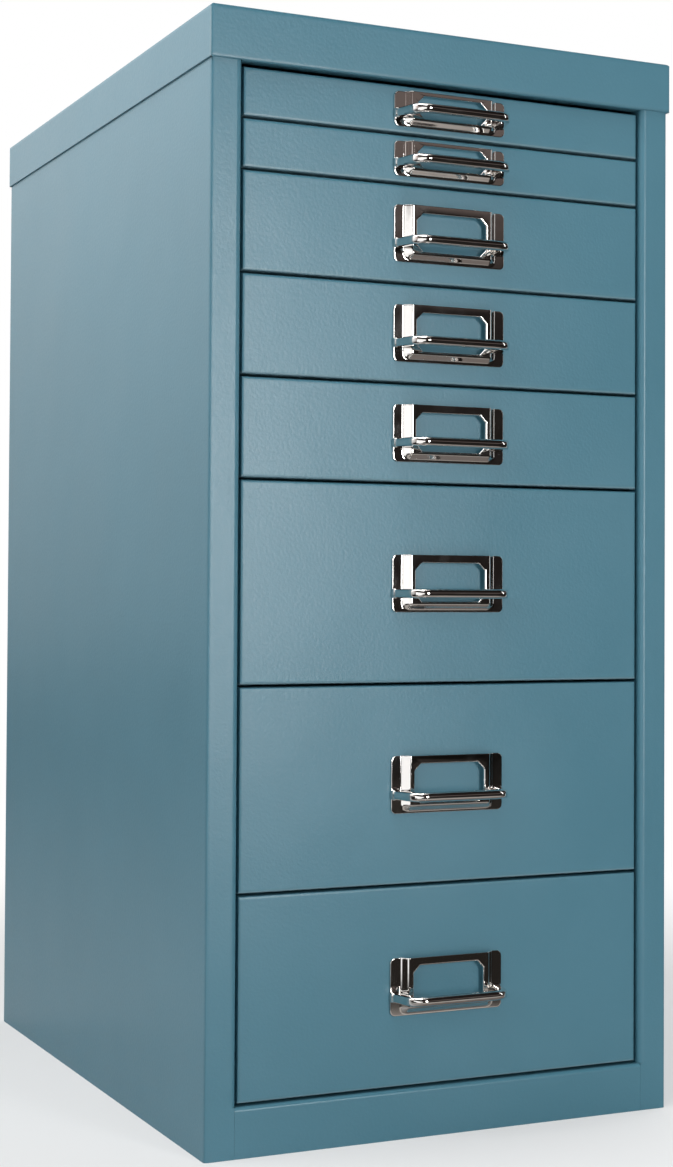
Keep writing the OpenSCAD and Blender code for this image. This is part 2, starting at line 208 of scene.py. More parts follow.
powder = {
    "light": colour(0.0745, 0.2085, 0.2755),
    "deep": colour(0.068, 0.1975, 0.262),
    "tones": (0.35, 0.65),  # from the deep tone to the light one
    "roughness": 0.32,
    "clouds": (9, 3.0, 0.55),
    "cloudShare": 0.8,  # the rest of the tone is grain
    "cloudRoughness": 0.08,
    "grain": (2600, 1.0),
    "grainHeight": 0.12,  # as a share of the peel's
    "peel": (620, 1.5, 0.45),  # lumps of 1.6 mm
    "peelHeight": 0.06 * mm,
    "peelRoughness": 0.10,
    "waves": (14, 1.0),  # the sheet is never quite flat
    "wavesHeight": 0.5 * mm,
    "rollReach": 1.7 * mm,  # the face of a drawer falls away towards its bends
    "rollRadius": 9 * mm,
    "crisp": 0.8,  # how much tighter the bends look than they are
    "bendReach": 2.5 * mm,
    "thin": colour(0.24, 0.34, 0.38),  # painted highlight, a lighter colour along the drawers' foot bends and down the cap's front and back corners
    "footThin": 0.5,
    "footBand": (1.7 * mm, 0.7 * mm),  # up from a drawer's foot
    "cornerThin": 0.5,
    "cornerBand": (2.2 * mm, 1.4 * mm),  # in from the cap's front and back
    "cornerTop": (1.5 * mm, 3.0 * mm),  # down from the cap's top
}


# a form gives a finish's height near the bends, and the share of painted highlight there


def rolledFace(w, place, look, panel):
    # a drawer's face falls away near its edges, and its bends are tight
    across, along, up = w.axes(place)
    halfWidth, foot, top, face = panel
    sideways = halfWidth - w.maths("ABSOLUTE", across)
    inside = w.least(sideways, up - foot, top - up)
    over = w.maths("MAXIMUM", look["rollReach"] - inside, 0)
    bend = w.least(inside, along - face, look["bendReach"])
    # painted highlight: a lighter band along the drawer's foot bend
    thin = w.smooth(up - foot, *look["footBand"]) * look["footThin"]
    return over * over * (-0.5 / look["rollRadius"]) + bend * look["crisp"], thin


def tightCorner(w, place, look, panel):
    # the same for the upright bend between a side and its stile
    across, along, _ = w.axes(place)
    halfWidth, face = panel
    sideways = halfWidth - w.maths("ABSOLUTE", across)
    bend = w.least(sideways, along - face, look["bendReach"])
    return bend * w.maths("LESS_THAN", sideways, look["bendReach"] * 2) * look["crisp"], None


def tightCap(w, place, look, panel):
    # and for the cap's bends
    across, along, up = w.axes(place)
    halfWidth, halfDepth, top = panel
    sideways = halfWidth - w.maths("ABSOLUTE", across)
    deep = halfDepth - w.maths("ABSOLUTE", along)
    bend = w.least(sideways, deep, top - up, look["bendReach"])
    # painted highlight: a lighter strip down the cap's front and back corners, near its top
    besideCorner = w.smooth(deep, *look["cornerBand"]) * w.maths("LESS_THAN", sideways, deep)
    thin = besideCorner * w.smooth(top - up, *look["cornerTop"]) * look["cornerThin"]
    return bend * look["crisp"], thin


def powderCoat(name, look, rub=None, form=None, panel=None):
    material, w = newMaterial(name)
    place = w.add("ShaderNodeTexCoord").outputs["Object"]
    peel = w.noise(place, *look["peel"])
    grain = w.noise(place, *look["grain"])
    waves = w.noise(place, *look["waves"])
    clouds = w.noise(place, *look["clouds"])
    tone = clouds * look["cloudShare"] + grain * (1 - look["cloudShare"])
    tone = w.smooth(tone, *look["tones"])
    hue = w.mixColour(tone, look["deep"], look["light"])
    rough = look["roughness"] + (peel - 0.5) * look["peelRoughness"]
    rough = rough + (clouds - 0.5) * look["cloudRoughness"]
    if rub:
        hue, rough = rub(w, place, hue, rough)
    normal = w.bump(waves, look["wavesHeight"])
    if form:
        height, thin = form(w, place, look, panel)
        normal = w.bump(height, 1.0, normal)
        if thin:
            # the painted highlight, mixed into the coat's colour
            hue = w.mixColour(thin, hue, look["thin"])
    normal = w.bump(peel + grain * look["grainHeight"], look["peelHeight"], normal)
    coat = w.add("ShaderNodeBsdfPrincipled", None, {
        "Base Color": hue, "Roughness": rough, "Normal": normal,
        "IOR": 1.5, "Specular IOR Level": 0.5,
    })
    closeMaterial(w, coat)
    return material


scuffs = {
    "stretch": (900, 16, 900),  # noise drawn out along the drawer's way
    "lines": (0.62, 0.74),
    "patchNoise": (26, 2.0),
    "patches": (0.45, 0.62),
    "worn": colour(0.17, 0.30, 0.36),
    "share": 0.35,
    "roughness": 0.12,
}
rubbing = {
    "stretch": (700, 9, 700),
    "lines": (0.55, 0.70),
    "worn": colour(0.30, 0.34, 0.36),
    "share": 0.5,
    "roughness": -0.10,
}
streakNoise = (1.0, 3.0, 0.6)


def streaks(w, place, look):
    long = w.add("ShaderNodeMapping", None, {"Vector": place, "Scale": look["stretch"]})
    return w.smooth(w.noise(long.outputs[0], *streakNoise), *look["lines"])


def scuffedTray(w, place, hue, rough):
    # fine scratches that run with the drawer, where papers slide in and out
    patches = w.smooth(w.noise(place, *scuffs["patchNoise"]), *scuffs["patches"])
    mark = streaks(w, place, scuffs) * patches
    worn = w.mixColour(mark * scuffs["share"], hue, scuffs["worn"])
    return worn, rough + mark * scuffs["roughness"]


def rubbedRunner(w, place, hue, rough):
    # bare bright streaks where the rims run
    mark = streaks(w, place, rubbing)
    worn = w.mixColour(mark * rubbing["share"], hue, rubbing["worn"])
    return worn, rough + mark * rubbing["roughness"]


bright = {
    "colour": colour(0.80, 0.78, 0.755),
    "roughness": 0.04,
    "dull": colour(0.73, 0.72, 0.71),
    "dullShare": 0.5,
    "dullRoughness": 0.09,
    "hazeNoise": (60, 3.0, 0.6),
    "haze": (0.40, 0.72),
    "speckNoise": (900, 2.0),
    "specks": (0.62, 0.76),
    "speckRoughness": 0.05,
    "ripple": (170, 1.0),
    "rippleHeight": 0.012 * mm,
}


def chromePlate(name, look):
    material, w = newMaterial(name)
    place = w.add("ShaderNodeTexCoord").outputs["Object"]
    haze = w.smooth(w.noise(place, *look["hazeNoise"]), *look["haze"])
    specks = w.smooth(w.noise(place, *look["speckNoise"]), *look["specks"])
    rough = look["roughness"] + haze * (look["dullRoughness"] - look["roughness"])
    rough = rough + specks * look["speckRoughness"]
    normal = w.bump(w.noise(place, *look["ripple"]), look["rippleHeight"])
    tint = w.mixColour(haze * look["dullShare"], look["colour"], look["dull"])
    metal = w.add("ShaderNodeBsdfPrincipled", None, {
        "Base Color": tint, "Metallic": 1.0, "Roughness": rough, "Normal": normal,
    })
    closeMaterial(w, metal)
    return material


# the same coat, a little darker, for the trays, runners, base and top rail inside the cabinet:
# painted shade
shadedPowder = {
    **powder,
    "light": colour(0.068, 0.196, 0.262),
    "deep": colour(0.058, 0.176, 0.236),
}
outsidePaint = powderCoat("outsidePaint", powder)
trayPaint = powderCoat("trayPaint", shadedPowder, scuffedTray)
runnerPaint = powderCoat("runnerPaint", shadedPowder, rubbedRunner)
brightMetal = chromePlate("brightMetal", bright)
print("finishes made")


def dress(node, material):
    slots = cadNodes[node].material_slots
    for slot in slots:
        slot.material = material
    if not slots:
        cadNodes[node].data.materials.append(material)


low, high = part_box("side_panel_right")
sidePaint = powderCoat("sidePaint", powder, form=tightCorner, panel=(high.x, low.y))
for node in ("side_panel_left", "side_panel_right"):
    dress(node, sidePaint)
low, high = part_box("top_cap")
dress("top_cap", powderCoat("capPaint", powder, form=tightCap, panel=(high.x, high.y, high.z)))
for node in ("back_panel", "bottom_rail"):
    dress(node, outsidePaint)
for node in ("base_panel", "top_rail"):
    dress(node, trayPaint)
for number in drawerNumbers:
    dress(f"runner_left_{number}", runnerPaint)
    dress(f"runner_right_{number}", runnerPaint)
    low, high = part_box(f"drawer_front_{number}")
    panel = (high.x, low.z, high.z, low.y)
    frontPaint = powderCoat(f"frontPaint_{number}", powder, form=rolledFace, panel=panel)
    dress(f"drawer_front_{number}", frontPaint)
    dress(f"drawer_tray_{number}", trayPaint)
print("frame dressed")


# label plates, drawn in millimetres as width, height and depth out from the drawer's face

plateShape = {
    "width": 66.9,
    "corner": 2.8,
    "sheet": 1.2,
    "rise": 3.0,
    "flange": 6.0,
    "slope": 3.6,
    "windowSide": 3.0,
    "windowCut": 3.7,  # chamfer across each corner of the window
    "windowEase": 0.9,
    "windowSteps": 5,  # in each of its eight bends
    "edge": 0.35,
    "ease": 0.22,  # how soft the pressed bends are, as a share of the slope
    "cornerLines": (0.75, 1.2, 1.7, 2.25, 2.8),  # grid lines in from the edge, to the corner's end
}
plateHeights = {
    "low": {
        "height": 18.9, "footFlange": 0.8, "footSlope": 3.0, "sill": 0.7, "top": 2.1,
        "windowEdge": 0.3,
    },
    "tall": {
        "height": 30.7, "footFlange": 1.3, "footSlope": 3.0, "sill": 1.6, "top": 4.4,
        "windowEdge": 0.8,
    },
}
lowPlate = 25 * mm  # a plate under this height is a low one
quarter = [math.radians(angle) for angle in (0, 22.5, 45, 67.5, 90)]
near = 1e-4  # for telling apart grid lines


def pressedDepth(shape, across, up):
    # height of the plate's face over the drawer at one point, before its edge is rolled
    side = (shape["width"] / 2 - shape["flange"] - abs(across)) / shape["slope"]
    foot = (up - shape["footFlange"]) / shape["footSlope"]
    soft = shape["ease"]
    full = 1 + soft
    ramp = full - math.hypot(max(0, full - side), max(0, full - foot))
    if ramp <= -soft:
        share = 0
    elif ramp < soft:
        share = (ramp + soft) ** 2 / (4 * soft)
    elif ramp <= 1 - soft:
        share = ramp
    elif ramp < full:
        share = 1 - (full - ramp) ** 2 / (4 * soft)
    else:
        share = 1
    return shape["sheet"] + shape["rise"] * share


def edgeDrop(radius, inside):
    # how far a rolled edge falls at this distance inside it
    if inside >= radius:
        return 0
    return radius - math.sqrt(max(0, radius ** 2 - (radius - inside) ** 2))


def gridLines(shape):
    rolled = [shape["edge"] * (1 - math.cos(angle)) for angle in quarter]
    corner = list(shape["cornerLines"])
    soft = shape["ease"]
    bend = [-soft, -soft * 0.6, -soft * 0.2, soft * 0.2, soft * 0.6, soft]
    ramp = bend + [0.5] + [1 + part for part in bend]
    half = shape["width"] / 2
    out = [half - inside for inside in rolled + corner]
    out += [half - shape["flange"] - part * shape["slope"] for part in ramp]
    across = sorted(set(round(sign * line, 5) for line in out for sign in (-1, 1)))
    foot = rolled + [shape["footFlange"] + part * shape["footSlope"] for part in ramp]
    foot += [line for line in corner if line > max(foot) + 0.1]
    head = [shape["height"] - inside for inside in rolled + corner]
    up = sorted(set(round(line, 5) for line in foot + head))
    return across, up


def roundCorner(shape, across, up):
    # moves a grid point of a square corner in behind the plate's round corner
    reach = shape["corner"]
    centreX = shape["width"] / 2 - reach
    centreZ = reach if up < shape["height"] / 2 else shape["height"] - reach
    outX, outZ = abs(across) - centreX, abs(up - centreZ)
    beyond = up < centreZ if centreZ == reach else up > centreZ
    inside = min(shape["width"] / 2 - abs(across), up, shape["height"] - up)
    if outX > 0 and outZ > 0 and beyond:
        share = max(outX, outZ) / math.hypot(outX, outZ)
        across = math.copysign(centreX + outX * share, across)
        up = centreZ + math.copysign(outZ * share, up - centreZ)
    return across, up, inside


def windowLoop(shape, beyond):
    # outline of the window, drawn out by a distance, turning left
    raised = shape["width"] / 2 - shape["flange"] - shape["slope"]
    half = raised - shape["windowSide"] + beyond
    foot = shape["footFlange"] + shape["footSlope"] + shape["sill"] - beyond
    head = shape["height"] - shape["top"] + beyond
    cut = shape["windowCut"] + beyond * (2 - math.sqrt(2))
    ease = shape["windowEase"] + beyond
    corners = [
        (half, head - cut), (half - cut, head), (-half + cut, head), (-half, head - cut),
        (-half, foot + cut), (-half + cut, foot), (half - cut, foot), (half, foot + cut),
    ]
    steps = shape["windowSteps"]
    loop = []
    for index, corner in enumerate(corners):
        here = Vector(corner)
        before = (Vector(corners[index - 1]) - here).normalized()
        after = (Vector(corners[(index + 1) % len(corners)]) - here).normalized()
        middle = (before + after).normalized()
        halfAngle = before.angle(after) / 2
        centre = here + middle * ease / math.sin(halfAngle)
        out = here + before * ease / math.tan(halfAngle) - centre
        start = math.atan2(out.y, out.x)
        turn = math.pi - 2 * halfAngle
        for step in range(steps + 1):
            angle = start + turn * step / steps
            loop.append((centre.x + ease * math.cos(angle), centre.y + ease * math.sin(angle)))
    return loop


def pressedPlate(name, shape):
    across, up = gridLines(shape)
    soft = shape["ease"]
    flatX = shape["width"] / 2 - shape["flange"] - (1 + soft) * shape["slope"]
    flatLow = shape["footFlange"] + (1 + soft) * shape["footSlope"]
    flatTop = shape["height"] - shape["edge"]
    bm = bmesh.new()

    def onFlat(x, z):
        return abs(x) < flatX - near and flatLow + near < z < flatTop - near

    faces = {}
    for side in ("face", "back"):
        points = {}
        for i, x in enumerate(across):
            for j, z in enumerate(up):
                if onFlat(x, z):
                    continue
                px, pz, inside = roundCorner(shape, x, z)
                depth = pressedDepth(shape, px, pz)
                if side == "back":
                    depth = max(0, depth - shape["sheet"])
                else:
                    depth -= edgeDrop(shape["edge"], inside)
                points[i, j] = bm.verts.new((px, -depth, pz))
        faces[side] = points
        for i in range(len(across) - 1):
            for j in range(len(up) - 1):
                if not onFlat((across[i] + across[i + 1]) / 2, (up[j] + up[j + 1]) / 2):
                    ring = ((i, j), (i + 1, j), (i + 1, j + 1), (i, j + 1))
                    bm.faces.new([points[place] for place in ring])

    # wall round the outline
    lastX, lastZ = len(across) - 1, len(up) - 1
    rim = [(i, 0) for i in range(lastX)] + [(lastX, j) for j in range(lastZ)]
    rim += [(i, lastZ) for i in range(lastX, 0, -1)] + [(0, j) for j in range(lastZ, 0, -1)]
    face, back = faces["face"], faces["back"]
    for here, following in zip(rim, rim[1:] + rim[:1]):
        bm.faces.new([back[here], back[following], face[following], face[here]])

    # rolled edge and wall of the window
    raised = shape["sheet"] + shape["rise"]
    radius = shape["windowEdge"]
    rings = [
        (radius * (1 - math.cos(angle)), raised - radius * (1 - math.sin(angle)))
        for angle in reversed(quarter)
    ]
    rings.append((0, raised - shape["sheet"]))
    loops = [
        [bm.verts.new((x, -depth, z)) for x, z in windowLoop(shape, beyond)]
        for beyond, depth in rings
    ]
    for outer, inner in zip(loops, loops[1:]):
        for index in range(len(outer)):
            following = (index + 1) % len(outer)
            bm.faces.new([outer[index], outer[following], inner[following], inner[index]])

    # flat part between the window and the pressed bends
    columns = [i for i, x in enumerate(across) if abs(x) < flatX + near]
    rows = [j for j, z in enumerate(up) if flatLow - near < z < flatTop + near]
    low, high, left, right = rows[0], rows[-1], columns[0], columns[-1]
    border = [(i, low) for i in range(left, right)] + [(right, j) for j in range(low, high)]
    border += [(i, high) for i in range(right, left, -1)]
    border += [(left, j) for j in range(high, low, -1)]
    for points, loop in ((face, loops[0]), (back, loops[-1])):
        edges = []
        for ring in ([points[place] for place in border], loop):
            for first, second in zip(ring, ring[1:] + ring[:1]):
                edges.append(bm.edges.get((first, second)) or bm.edges.new((first, second)))
        bmesh.ops.triangle_fill(bm, edges=edges, use_beauty=True)

    bmesh.ops.recalc_face_normals(bm, faces=bm.faces)
    for polygon in bm.faces:
        polygon.smooth = True
    mesh = bpy.data.meshes.new(name)
    bm.to_mesh(mesh)
    bm.free()
    mesh.set_sharp_from_angle(angle=sharpAngle)
    return mesh


def hangPlates():
    forms = {
        size: pressedPlate(f"{size}Plate", {**plateShape, **heights})
        for size, heights in plateHeights.items()
    }
    for number in drawerNumbers:
        low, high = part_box(f"label_plate_{number}")
        size = "low" if high.z - low.z < lowPlate else "tall"
        mesh = forms[size].copy()
        mesh.transform(Matrix.Translation((0, high.y, low.z)) @ Matrix.Scale(mm, 4))
        mesh.materials.append(brightMetal)
        plate = bpy.data.objects.new(f"labelFrame_{number}", mesh)
        bpy.context.scene.collection.objects.link(plate)
        flatten = plate.modifiers.new("flatFaces", "WEIGHTED_NORMAL")
        flatten.keep_sharp = True
        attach(plate, f"drawer_{number}")
        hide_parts(f"label_plate_{number}")


hangPlates()
print("label plates pressed")


ontoY = (math.pi / 2, 0, 0)  # turns a round piece's axis from Z to Y


def geometryTree(name, inputs):
    tree = bpy.data.node_groups.new(name, "GeometryNodeTree")
    tree.interface.new_socket("Geometry", in_out="OUTPUT", socket_type="NodeSocketGeometry")
    for label, value in inputs.items():
        kind = "NodeSocketMaterial" if value is None else "NodeSocketFloat"
        socket = tree.interface.new_socket(label, in_out="INPUT", socket_type=kind)
        if value is not None:
            socket.default_value = value
    w = Writer(tree)
    start = w.add("NodeGroupInput")
    given = {label: start.outputs[label] for label in inputs}
    return tree, w, given


def closeTree(w, pieces, material):
    real = w.add("GeometryNodeRealizeInstances", None, {"Geometry": pieces.outputs[0]})
    smooth = w.add("GeometryNodeSetShadeSmooth", None, {"Geometry": real.outputs[0]})
    finished = w.add("GeometryNodeSetMaterial", None, {
        "Geometry": smooth.outputs[0], "Material": material,
    })
    w.add("NodeGroupOutput", None, {0: finished.outputs[0]})


def bakeTree(name, tree, settings):
    # runs the tree on an empty mesh and keeps what it made
    piece = bpy.data.objects.new(name, bpy.data.meshes.new(name))
    bpy.context.scene.collection.objects.link(piece)
    modifier = piece.modifiers.new("shape", "NODES")
    modifier.node_group = tree
    for item in tree.interface.items_tree:
        if item.in_out == "INPUT" and item.name in settings:
            modifier[item.identifier] = settings[item.name]
    evaluated = piece.evaluated_get(bpy.context.evaluated_depsgraph_get())
    made = bpy.data.meshes.new_from_object(evaluated)
    piece.modifiers.clear()
    piece.data = made
    made.name = name
    return piece


pullShape = {
    "Bar": 5.2 * mm,
    "Bar reach": 16.4 * mm,
    "Knee": 26.32 * mm,  # where the lines of bar and arm cross
    "Root": 30.45 * mm,
    "Bend": 7.5 * mm,
    "Root width": 5.8 * mm,
    "Arm height": 4.8 * mm,
    "Squareness": 4.4,
    "Collar": 0.45 * mm,
    "Spigot": 3.2 * mm,
    "Head": 6.0 * mm,
    "Head height": 1.0 * mm,
    "Sheets": 1.8 * mm,
    "Flange": 1.2 * mm,
}
pullDetail = {
    "bendSteps": 16,
    "step": 0.55 * mm,  # between the rings of the swept bar
    "sides": 32,
    "rootSunk": 1.0 * mm,  # how far the path runs into the flange
    "faceSunk": 0.3 * mm,  # where the arm is cut off, flush with the spigot's root
    "arm": (0.1 * mm, 4.0 * mm),  # from the bar, where it turns flat
    "collar": 1.6 * mm,
    "spigotSides": 24,
    "headSegments": 28,
    "headRings": 14,
}


def pullTree():
    inputs = {**pullShape, "Face": 0.0, "Height": 0.0, "Metal": None}
    tree, w, given = geometryTree("bentPull", inputs)
    size = {label: w.amount(socket) for label, socket in given.items() if label != "Metal"}
    rootY = size["Face"] - size["Flange"]
    barY = rootY - size["Bar reach"]
    minusKnee = w.maths("MULTIPLY", size["Knee"], -1)
    minusRoot = w.maths("MULTIPLY", size["Root"], -1)

    def level(x, y):
        return w.together(x, y, size["Height"])

    path = w.add("GeometryNodeCurvePrimitiveQuadrilateral", {"mode": "POINTS"}, {
        "Point 1": level(minusRoot, rootY + pullDetail["rootSunk"]),
        "Point 2": level(minusKnee, barY),
        "Point 3": level(size["Knee"], barY),
        "Point 4": level(size["Root"], rootY + pullDetail["rootSunk"]),
    })
    opened = w.add("GeometryNodeSetSplineCyclic", None, {
        "Geometry": path.outputs[0], "Cyclic": False,
    })
    bent = w.add("GeometryNodeFilletCurve", {"mode": "POLY"}, {
        "Curve": opened.outputs[0], "Count": pullDetail["bendSteps"], "Radius": size["Bend"],
        "Limit Radius": False,
    })
    fine = w.add("GeometryNodeResampleCurve", {"mode": "LENGTH"}, {
        "Curve": bent.outputs[0], "Length": pullDetail["step"],
    })
    here = w.add("GeometryNodeInputPosition").outputs[0]
    kept = w.add("GeometryNodeCaptureAttribute", {"domain": "POINT"})
    kept.capture_items.new("VECTOR", "centre")
    tree.links.new(fine.outputs[0], kept.inputs[0])
    tree.links.new(here, kept.inputs[1])
    ring = w.add("GeometryNodeCurvePrimitiveCircle", None, {
        "Resolution": pullDetail["sides"], "Radius": mm,
    })
    swept = w.add("GeometryNodeCurveToMesh", None, {
        "Curve": kept.outputs[0], "Profile Curve": ring.outputs[0], "Fill Caps": True,
    })
    centre = kept.outputs[1]
    spread = w.add("ShaderNodeVectorMath", {"operation": "SUBTRACT"}, {0: here, 1: centre})
    outX, outY, outZ = w.axes(spread.outputs[0])
    centreX, centreY, centreZ = w.axes(centre)

    # the unit ring is scaled to a round bar that turns into a flat arm with a collared root
    flat = w.maths("SQRT", outX * outX + outY * outY) / mm
    tall = w.maths("ABSOLUTE", outZ) / mm
    arm = w.smooth(centreY - barY, *pullDetail["arm"])
    power = 2 + arm * (size["Squareness"] - 2)
    squared = (flat ** power + tall ** power) ** (-1 / power)
    alongArm = (centreY - barY - size["Bend"]) / (size["Bar reach"] - size["Bend"])
    rootShare = w.least(w.maths("MAXIMUM", alongArm, 0), 1)
    nearRoot = w.smooth(centreY, rootY - pullDetail["collar"], rootY)
    halfBar = size["Bar"] / 2
    wide = halfBar + (size["Root width"] / 2 - halfBar) * rootShare + size["Collar"] * nearRoot
    high = halfBar + (size["Arm height"] / 2 - halfBar) * arm + size["Collar"] * nearRoot
    placeX = centreX + outX / mm * squared * wide
    placeY = w.least(centreY + outY / mm * squared * wide, rootY + pullDetail["faceSunk"])
    placeZ = centreZ + outZ / mm * squared * high
    shaped = w.add("GeometryNodeSetPosition", None, {
        "Geometry": swept.outputs[0], "Position": w.together(placeX, placeY, placeZ),
    })

    # spigots through the sheets, hammered over inside the drawer
    inner = size["Face"] + size["Sheets"]
    shank = w.add("GeometryNodeMeshCylinder", {"fill_type": "NGON"}, {
        "Vertices": pullDetail["spigotSides"], "Radius": size["Spigot"] / 2,
        "Depth": inner - rootY,
    })
    turned = w.add("GeometryNodeTransform", None, {
        "Geometry": shank.outputs[0],
        "Translation": w.together(y=(rootY - inner) / 2),
        "Rotation": ontoY,
    })
    ball = w.add("GeometryNodeMeshUVSphere", None, {
        "Segments": pullDetail["headSegments"], "Rings": pullDetail["headRings"],
        "Radius": size["Head"] / 2,
    })
    flatter = size["Head height"] / (size["Head"] / 2)
    dome = w.add("GeometryNodeTransform", None, {
        "Geometry": ball.outputs[0],
        "Rotation": ontoY,
        "Scale": w.together(1.0, 1.0, flatter),
    })
    rivet = w.add("GeometryNodeJoinGeometry")
    tree.links.new(turned.outputs[0], rivet.inputs[0])
    tree.links.new(dome.outputs[0], rivet.inputs[0])
    places = w.add("GeometryNodeMeshLine", {"mode": "END_POINTS"}, {
        "Count": 2, "Start Location": level(minusRoot, inner),
        "Offset": level(size["Root"], inner),
    })
    rivets = w.add("GeometryNodeInstanceOnPoints", None, {
        "Points": places.outputs[0], "Instance": rivet.outputs[0],
    })
    whole = w.add("GeometryNodeJoinGeometry")
    tree.links.new(shaped.outputs[0], whole.inputs[0])
    tree.links.new(rivets.outputs[0], whole.inputs[0])
    closeTree(w, whole, given["Metal"])
    return tree


def hangPulls():
    tree = pullTree()
    for number in drawerNumbers:
        low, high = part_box(f"pull_{number}")
        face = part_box(f"label_plate_{number}")[1].y
        settings = {
            **pullShape, "Face": face, "Height": (low.z + high.z) / 2, "Metal": brightMetal,
        }
        pull = bakeTree(f"bentPull_{number}", tree, settings)
        pull.data.set_sharp_from_angle(angle=sharpAngle)
        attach(pull, f"drawer_{number}")
        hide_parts(f"pull_{number}")


hangPulls()
print("pulls bent")


weldMarks = {
    "Ring": 2.3 * mm,
    "Ring width": 0.6 * mm,
    "Height": 0.25 * mm,
    "Foot": 34 * mm,
    "Head": 552 * mm,
    "Inset": 8 * mm,  # from the side panel's outer face
}
weldDetail = {"count": 9, "ringSides": 20, "wireSides": 8}


def weldTree():
    # round marks of the spot welds, in one upright row on each rear flange
    inputs = {**weldMarks, "Half width": 0.0, "Back": 0.0, "Paint": None}
    tree, w, given = geometryTree("spotWelds", inputs)
    size = {label: w.amount(socket) for label, socket in given.items() if label != "Paint"}
    ring = w.add("GeometryNodeCurvePrimitiveCircle", None, {
        "Resolution": weldDetail["ringSides"], "Radius": given["Ring"],
    })
    section = w.add("GeometryNodeCurvePrimitiveCircle", None, {
        "Resolution": weldDetail["wireSides"], "Radius": given["Ring width"],
    })
    torus = w.add("GeometryNodeCurveToMesh", None, {
        "Curve": ring.outputs[0], "Profile Curve": section.outputs[0],
    })
    pressed = w.add("GeometryNodeTransform", None, {
        "Geometry": torus.outputs[0],
        "Rotation": ontoY,
        "Scale": w.together(1.0, 1.0, size["Height"] / size["Ring width"]),
    })
    rows = w.add("GeometryNodeJoinGeometry")
    for side in (-1, 1):
        across = (size["Half width"] - size["Inset"]) * side
        line = w.add("GeometryNodeMeshLine", {"mode": "END_POINTS"}, {
            "Count": weldDetail["count"],
            "Start Location": w.together(across, given["Back"], given["Foot"]),
            "Offset": w.together(across, given["Back"], given["Head"]),
        })
        tree.links.new(line.outputs[0], rows.inputs[0])
    marks = w.add("GeometryNodeInstanceOnPoints", None, {
        "Points": rows.outputs[0], "Instance": pressed.outputs[0],
    })
    closeTree(w, marks, given["Paint"])
    return tree


def markWelds():
    low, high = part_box("side_panel_right")
    settings = {**weldMarks, "Half width": high.x, "Back": high.y, "Paint": outsidePaint}
    marks = bakeTree("spotWelds", weldTree(), settings)
    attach(marks, "cabinet")


markWelds()
print("welds marked")


floorLook = {
    "size": 12,
    "paper": colour(0.80, 0.80, 0.80),
    "white": 0.35,  # share of plain white that the camera sees near the cabinet
    "whiteBand": (0.35, 0.95),  # and how far off it is all white
}

# what mirrors see of the floor; a band is where one thing fades into the next, in metres

mirroredFloor = {
    "nearby": colour(0.46, 0.42, 0.39),
    "atFoot": colour(0.21, 0.18, 0.165),  # right before the drawers
    "footBand": (-0.315, -0.295),  # along
    "shade": colour(0.02, 0.017, 0.015),  # further out
    "shadeBand": (0.42, 0.55),  # away from the middle
    "behind": colour(0.60, 0.60, 0.60),  # left of the cabinet and behind it
    "leftBand": (0.0, -0.1),  # across
    "leftEnd": (-0.35, -0.15),  # along
    "behindBand": (-0.19, -0.17),  # along
    "face": -0.2,  # where the drawers' faces are
    "card": (0.965, 0.985),  # the white card's foot, as cosines from its middle
    "cardBand": (0.40, 0.50),  # away from the drawers' faces
    "cardSpread": 0.08,  # it is wider far off
    "spreadBand": (0.9, 1.2),
    "cardGain": 0.2,
}
darkEnd = (0.66, -0.75)  # the unlit end of the room, in front and to the right
cardWay = (-0.588, -0.809)  # a tall white card stands in front, left of the camera


def mirroredTone(w, across, along, away):
    look = mirroredFloor
    close = w.mixColour(w.smooth(along, *look["footBand"]), look["nearby"], look["atFoot"])
    inFront = w.mixColour(w.smooth(away, *look["shadeBand"]), close, look["shade"])
    left = w.smooth(along, *look["leftEnd"]) * w.smooth(across, *look["leftBand"])
    behind = w.maths("MAXIMUM", left, w.smooth(along, *look["behindBand"]))
    return w.mixColour(behind, inFront, look["behind"])


def mirroredCard(w, across, along):
    look = mirroredFloor
    ahead = along - look["face"]
    reach = w.maths("SQRT", across * across + ahead * ahead)
    toCard = (across * cardWay[0] + ahead * cardWay[1]) / reach
    toCard = toCard + look["cardSpread"] * w.smooth(reach, *look["spreadBand"])
    return w.smooth(toCard, *look["card"]) * w.smooth(reach, *look["cardBand"])


def paperFloor():
    bpy.ops.mesh.primitive_plane_add(size=floorLook["size"])
    floor = bpy.context.object
    floor.name = "studioFloor"
    material, w = newMaterial("studioPaper")
    place = w.add("ShaderNodeTexCoord").outputs["Object"]
    across, along, _ = w.axes(place)
    away = w.maths("SQRT", across * across + along * along)
    path = w.add("ShaderNodeLightPath")
    seen = w.amount(path.outputs["Is Camera Ray"])
    mirrored = w.amount(path.outputs["Is Glossy Ray"])
    tone = w.mixColour(mirrored, floorLook["paper"], mirroredTone(w, across, along, away))
    paper = w.add("ShaderNodeBsdfDiffuse", None, {"Color": tone})
    white = w.add("ShaderNodeEmission", None, {
        "Color": plainWhite, "Strength": 1 + mirrored * mirroredFloor["cardGain"],
    })
    fade = w.smooth(away, *floorLook["whiteBand"])
    fade = floorLook["white"] + (1 - floorLook["white"]) * fade
    share = seen * fade + mirrored * mirroredCard(w, across, along)
    mixed = w.add("ShaderNodeMixShader", None, {
        0: share, 1: paper.outputs[0], 2: white.outputs[0],
    })
    closeMaterial(w, mixed)
    floor.data.materials.append(material)


